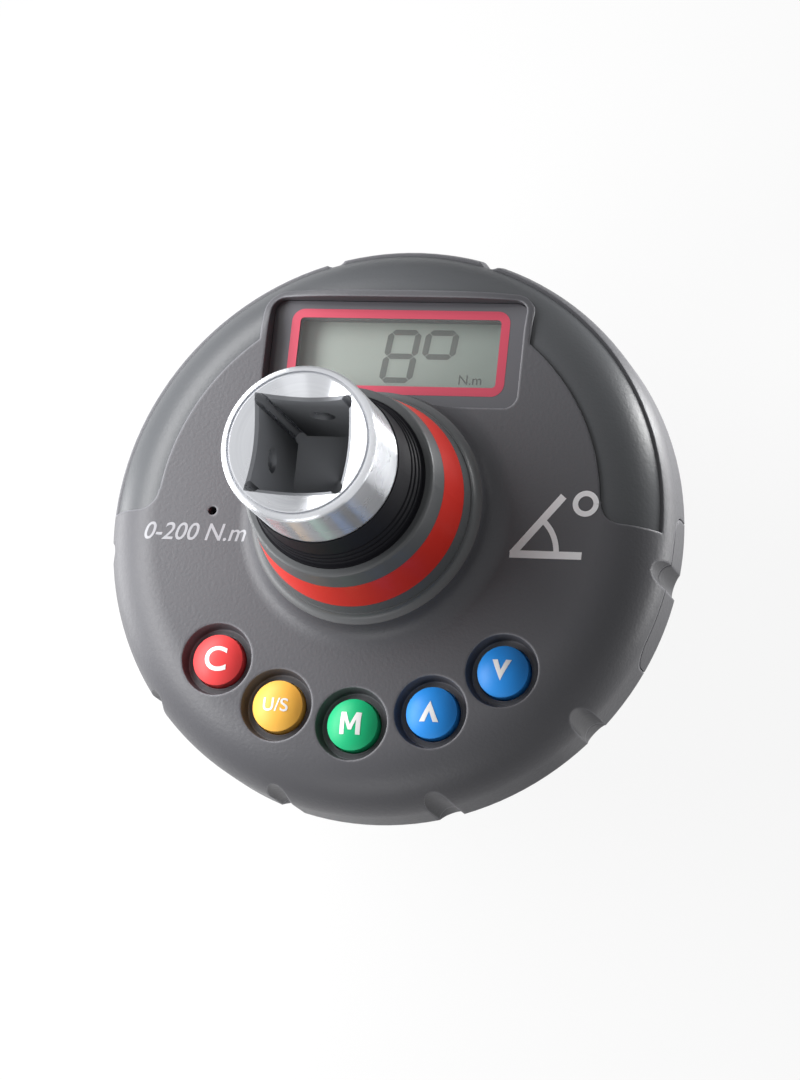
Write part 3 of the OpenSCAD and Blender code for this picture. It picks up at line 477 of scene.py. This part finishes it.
screen_x, screen_y, screen_corner = (-15.2, 15.2), (20.0, 30.2), 0.6
mask_back, mask_thickness = 41.42, 1.14
mask_edge = rounded_box((-19.2, 19.2), (16.4, 32.7), 2.0, mask_back)
mask_opening = rounded_box(screen_x, screen_y, screen_corner, mask_back)
mask = framed_plate(mask_edge, mask_opening, mask_thickness)
mask_grey = moulded("back_printed_grey_acrylic", "#56565b", "#5e5e63", 0.6, 0.16, 0.22, 0.02)
finish_piece("window_mask", mask, mask_grey, "gauge", "display_window")

line_back, line_thickness = 42.57, 0.02
line_edge = rounded_box((-16.5, 16.5), (18.7, 31.5), 1.9, line_back)
line_opening = rounded_box(screen_x, screen_y, screen_corner, line_back)
red_line = framed_plate(line_edge, line_opening, line_thickness)
frame_red = moulded("screen_printed_red", "#b63a50", "#c0435a", 0.5, 0.3, 0.4, 0.02)
finish_piece("window_frame", red_line, frame_red, "gauge")

acrylic, tree, skin, place = start("clear_cast_acrylic")
# Faint haze of wiping marks, about 3 mm wide
haze = add(tree, "ShaderNodeTexNoise", {"Scale": 300.0, "Detail": 3.0}, {"Vector": place})
gloss = add(tree, "ShaderNodeMapRange", {"To Min": 0.05, "To Max": 0.12}, {"Value": haze.outputs[0]})
tree.links.new(gloss.outputs[0], skin.inputs["Roughness"])
skin.inputs["Base Color"].default_value = linear("#d8dcda")
skin.inputs["Alpha"].default_value = 0.06
pane_back, pane_thickness = 41.5, 1.0
pane_edge = rounded_box((-15.19, 15.19), (20.01, 30.19), screen_corner, pane_back)
pane = framed_plate(pane_edge, None, pane_thickness)
finish_piece("window_pane", pane, acrylic, "gauge")


# Display cell
# A reflective grey-green liquid-crystal cell behind the window. Two seven-bar figures are switched on, the
# second only in its upper half, and each throws a faint shadow on the reflector behind the glass.
def lcd_bars(left, bars, shift, z):
    """The lit bars of one slanted figure, whose lower left corner stands at a place in millimetres."""
    width, height, stroke, gap = 4.1, 8.2, 0.95, 0.07
    foot, lean = 21.2, 0.1
    middle = height / 2
    ends = {
        "a": ((0, height), (width, height)),
        "b": ((width, height), (width, middle)),
        "c": ((width, middle), (width, 0)),
        "d": ((0, 0), (width, 0)),
        "e": ((0, 0), (0, middle)),
        "f": ((0, middle), (0, height)),
        "g": ((0, middle), (width, middle)),
    }
    bm = bmesh.new()
    for bar in bars:
        tail, head = (Vector(p) for p in ends[bar])
        along = (head - tail).normalized()
        across = Vector((-along.y, along.x)) * stroke / 2
        tail += along * gap
        head -= along * gap
        near = tail + along * stroke / 2
        far = head - along * stroke / 2
        corners = []
        for p in (tail, near - across, far - across, head, far + across, near + across):
            x = left + stroke / 2 + p.x + lean * p.y + shift
            y = foot + stroke / 2 + p.y * (height - stroke) / height - shift
            corners.append(bm.verts.new(Vector((x, y, z)) * mm))
        bm.faces.new(corners)
    return bm


cell, tree, skin, place = start("reflective_lcd_glass")
# Reflector foil with a satin grain, and painted shade that darkens the screen towards the right
foil_grain = 0.2 * mm
foil_share = 0.15
foil = add(tree, "ShaderNodeTexNoise", {"Scale": 1 / foil_grain, "Detail": 1.0}, {"Vector": place})
axes = add(tree, "ShaderNodeSeparateXYZ", {}, {0: place})
painted_shade_rightward = add(
    tree,
    "ShaderNodeMapRange",
    {"From Min": -4 * mm, "From Max": 13 * mm, "To Min": 0.0, "To Max": 1 - foil_share},
    {"Value": axes.outputs[0]},
)
mixed = add(
    tree,
    "ShaderNodeMath",
    {"operation": "MULTIPLY_ADD", 1: foil_share},
    {0: foil.outputs[0], 2: painted_shade_rightward.outputs[0]},
)
tone = add(
    tree,
    "ShaderNodeMix",
    {"data_type": "RGBA", 6: linear("#858d86"), 7: linear("#6e7a73")},
    {0: mixed.outputs[0]},
)
tree.links.new(tone.outputs[2], skin.inputs["Base Color"])
skin.inputs["Roughness"].default_value = 0.4
dress(cell, "lcd_panel")
ink_level, shade_level, shade_shift = 40.04, 40.02, 0.3
lcd_ink = moulded("switched_liquid_crystal", "#2a302c", "#323834", 0.3, 0.4, 0.5, 0.02)
lcd_shade = moulded("shadow_on_reflector", "#757e77", "#7d867f", 0.3, 0.4, 0.5, 0.02)
figures = {"left": (-3.2, "abcdefg"), "right": (2.5, "abfg")}
for name, (left, bars) in figures.items():
    shadow = lcd_bars(left, bars, shade_shift, shade_level)
    figure = lcd_bars(left, bars, 0, ink_level)
    finish_piece(f"lcd_{name}_shade", shadow, lcd_shade, "gauge")
    finish_piece(f"lcd_{name}_figure", figure, lcd_ink, "gauge")


def lettering(text, width, middle, slant=0.0, weight=0.0):
    """A flat bmesh of plain lettering, scaled to a width and centred on a place in millimetres."""
    curve = bpy.data.curves.new("lettering", "FONT")
    curve.body = text
    curve.shear = slant
    curve.offset = weight
    carrier = bpy.data.objects.new("lettering", curve)
    scene.collection.objects.link(carrier)
    bpy.context.view_layer.update()
    drawn = carrier.evaluated_get(bpy.context.evaluated_depsgraph_get())
    flat = bpy.data.meshes.new_from_object(drawn)
    bm = bmesh.new()
    bm.from_mesh(flat)
    bpy.data.objects.remove(carrier)
    bpy.data.curves.remove(curve)
    bpy.data.meshes.remove(flat)
    xs = [v.co.x for v in bm.verts]
    ys = [v.co.y for v in bm.verts]
    size = width / (max(xs) - min(xs))
    for v in bm.verts:
        v.co.x = ((v.co.x - (max(xs) + min(xs)) / 2) * size + middle[0]) * mm
        v.co.y = ((v.co.y - (max(ys) + min(ys)) / 2) * size + middle[1]) * mm
    return bm


def drape(bm, height):
    """Splits long edges and lays a flat bmesh on a surface, whose height is a function in metres."""
    longest = 0.5 * mm
    bmesh.ops.remove_doubles(bm, verts=bm.verts, dist=1e-7)
    bmesh.ops.triangulate(bm, faces=bm.faces)
    for _ in range(4):
        long_edges = [e for e in bm.edges if e.calc_length() > longest]
        if long_edges:
            bmesh.ops.subdivide_edges(bm, edges=long_edges, cuts=1)
            bmesh.ops.triangulate(bm, faces=bm.faces)
    for v in bm.verts:
        v.co.z = height(v.co.x, v.co.y)
    return bm


unit = drape(lettering("N.m", 3.4, (10.6, 21.9)), lambda x, y: ink_level * mm)
finish_piece("lcd_unit", unit, lcd_ink, "gauge")

# Inside the housing
# The white holder frame carries the display cell, two pink silicone strips join it to the ring-shaped glass
# fibre board, and black epoxy parts stand on that board. The gauges and their lead are amber film.
inner_finishes = {
    ("lcd_holder",): ("natural_polyacetal", "#dddbd4", "#e8e6e0", 0.4, 0.35, 0.45),
    ("contact_strips",): ("striped_silicone", "#c98f95", "#dca9ae", 0.2, 0.5, 0.6),
    ("main_board",): ("green_solder_mask", "#255c3a", "#2f6b45", 0.3, 0.25, 0.35),
    ("board_chips", "key_switches", "buzzer"): ("black_epoxy", "#222327", "#2b2c30", 0.15, 0.45, 0.6),
    ("strain_gauges", "gauge_flex"): ("amber_polyimide_film", "#ad6d30", "#c5863f", 0.8, 0.25, 0.35),
}
for piece_names, finish in inner_finishes.items():
    dress(moulded(*finish), *piece_names)


# Keys
# Five domed caps of satin coloured acetal, moulded with their flange and stem. The white signs are
# pad-printed on the domes: clear, unit or set, mode, up and down.
def letter_m(at):
    """A flat capital M, centred on a place in millimetres."""
    bm = bmesh.new()
    left = ((-0.25, -0.95), (-0.85, 0.55), (-0.85, -1.6), (-1.5, -1.6), (-1.5, 1.6), (-0.75, 1.6))
    right = [(-x, y) for x, y in reversed(left)]
    outline = [*left, (0.0, -0.2), *right]
    bm.faces.new([bm.verts.new(Vector((at[0] + x, at[1] + y, 0)) * mm) for x, y in outline])
    return bm


def chevron(at, way):
    """A flat arrow head that points up or down, centred on a place in millimetres."""
    bm = bmesh.new()
    half = ((0.0, 1.5), (1.4, -1.5), (0.6, -1.5), (0.0, 0.0))
    for side in (1, -1):
        points = [Vector((at[0] + side * x, at[1] + way * y, 0)) * mm for x, y in half]
        bm.faces.new([bm.verts.new(p) for p in points])
    return bm


def dome(at):
    """Height of a key's dome around a place in millimetres, with the print's thickness."""
    radius, top, print_thickness = 6.304, 45.5, 0.04

    def height(x, y):
        off = math.hypot(x / mm - at[0], y / mm - at[1])
        return (top + print_thickness - radius + math.sqrt(radius**2 - off**2)) * mm

    return height


key_circle = 30.4
sign_white = moulded("pad_printed_white", "#f2f2f2", "#fafafa", 0.3, 0.35, 0.45, 0.02)
keys = {
    "clear": (-134, "#dc3c3e", "#e64a4b", "key_red", lambda at: lettering("C", 3.2, at, weight=0.015)),
    "unit": (-112, "#f6b748", "#fac158", "key_yellow", lambda at: lettering("U/S", 3.7, at, weight=0.01)),
    "mode": (-90, "#12b878", "#1cc283", "key_green", letter_m),
    "up": (-68, "#2590ec", "#2f9af4", "key_blue", lambda at: chevron(at, 1)),
    "down": (-46, "#2590ec", "#2f9af4", "key_blue", lambda at: chevron(at, -1)),
}
for name, (bearing, dark, light, slot, draw) in keys.items():
    dress(moulded(f"satin_acetal_{name}", dark, light, 0.5, 0.42, 0.5, 0.03, 0.3), f"{name}_key")
    angle = math.radians(bearing)
    at = (key_circle * math.cos(angle), key_circle * math.sin(angle))
    finish_piece(f"{name}_sign", drape(draw(at), dome(at)), sign_white, f"{name}_key_body")


# Prints on the face
# Pad prints: the measuring range in grey ink beside the sound hole, and an angle sign with a degree ring in
# silver ink on the right of the neck.
def face(x, y):
    """Height of the face with its round shoulder and the neck's flare, with the print's thickness."""
    level, print_thickness = 45.0, 0.02
    shoulder_start, shoulder_radius = 33.0, 9.0
    flare_start, flare_radius = 20.2, 3.2
    radius = math.hypot(x, y) / mm
    out = max(radius - shoulder_start, 0.0)
    inward = max(flare_start - radius, 0.0)
    drop = shoulder_radius - math.sqrt(shoulder_radius**2 - out**2)
    rise = flare_radius - math.sqrt(flare_radius**2 - inward**2)
    return (level - drop + rise + print_thickness) * mm


def stroke(points, width):
    """A flat band of a width along a line of points, in millimetres."""
    bm = bmesh.new()
    pairs = []
    for i, p in enumerate(points):
        before = Vector(points[max(i - 1, 0)])
        after = Vector(points[min(i + 1, len(points) - 1)])
        along = (after - before).normalized()
        side = Vector((-along.y, along.x)) * width / 2
        pairs.append([bm.verts.new((*((Vector(p) + side * s) * mm), 0)) for s in (1, -1)])
    for (a, b), (c, d) in zip(pairs, pairs[1:]):
        bm.faces.new((a, b, d, c))
    return bm


def bow(middle, radius, last, step):
    """Points of an arc from the right around a middle, in millimetres and degrees."""
    turns = [math.radians(a) for a in range(0, last + 1, step)]
    return [(middle[0] + radius * math.cos(a), middle[1] + radius * math.sin(a)) for a in turns]


silver_ink = moulded("pad_printed_silver", "#f0f0f2", "#fafafc", 0.25, 0.35, 0.45, 0.02)
grey_ink = moulded("pad_printed_grey", "#8e8f94", "#9c9da2", 0.25, 0.4, 0.5, 0.02)
range_mark = drape(lettering("0-200 N.m", 15.6, (-26.6, -3.2), slant=0.25, weight=0.008), face)
finish_piece("range_print", range_mark, grey_ink, "gauge")

# Each band of the sign lies a little higher than the one before it, so that crossings stay clean. The base
# ends left of the vertex, so that the square end of the slope lies on it.
layer_step = 0.01
vertex = (20.9, -5.0)
leg_width, bow_width = 1.1, 0.8
bands = {
    "angle_base": ([(31.0, -5.0), (20.55, -5.0)], leg_width),
    "angle_slope": ([vertex, (27.6, 3.6)], leg_width),
    "angle_arc": (bow(vertex, 6.4, 52, 4), bow_width),
    "degree_ring": (bow((30.9, 2.6), 1.5, 360, 12), bow_width),
}
for layer, (name, (points, width)) in enumerate(bands.items()):
    sign = drape(stroke(points, width), face)
    bmesh.ops.translate(sign, verts=sign.verts, vec=(0, 0, layer_step * layer * mm))
    finish_piece(name, sign, silver_ink, "gauge")
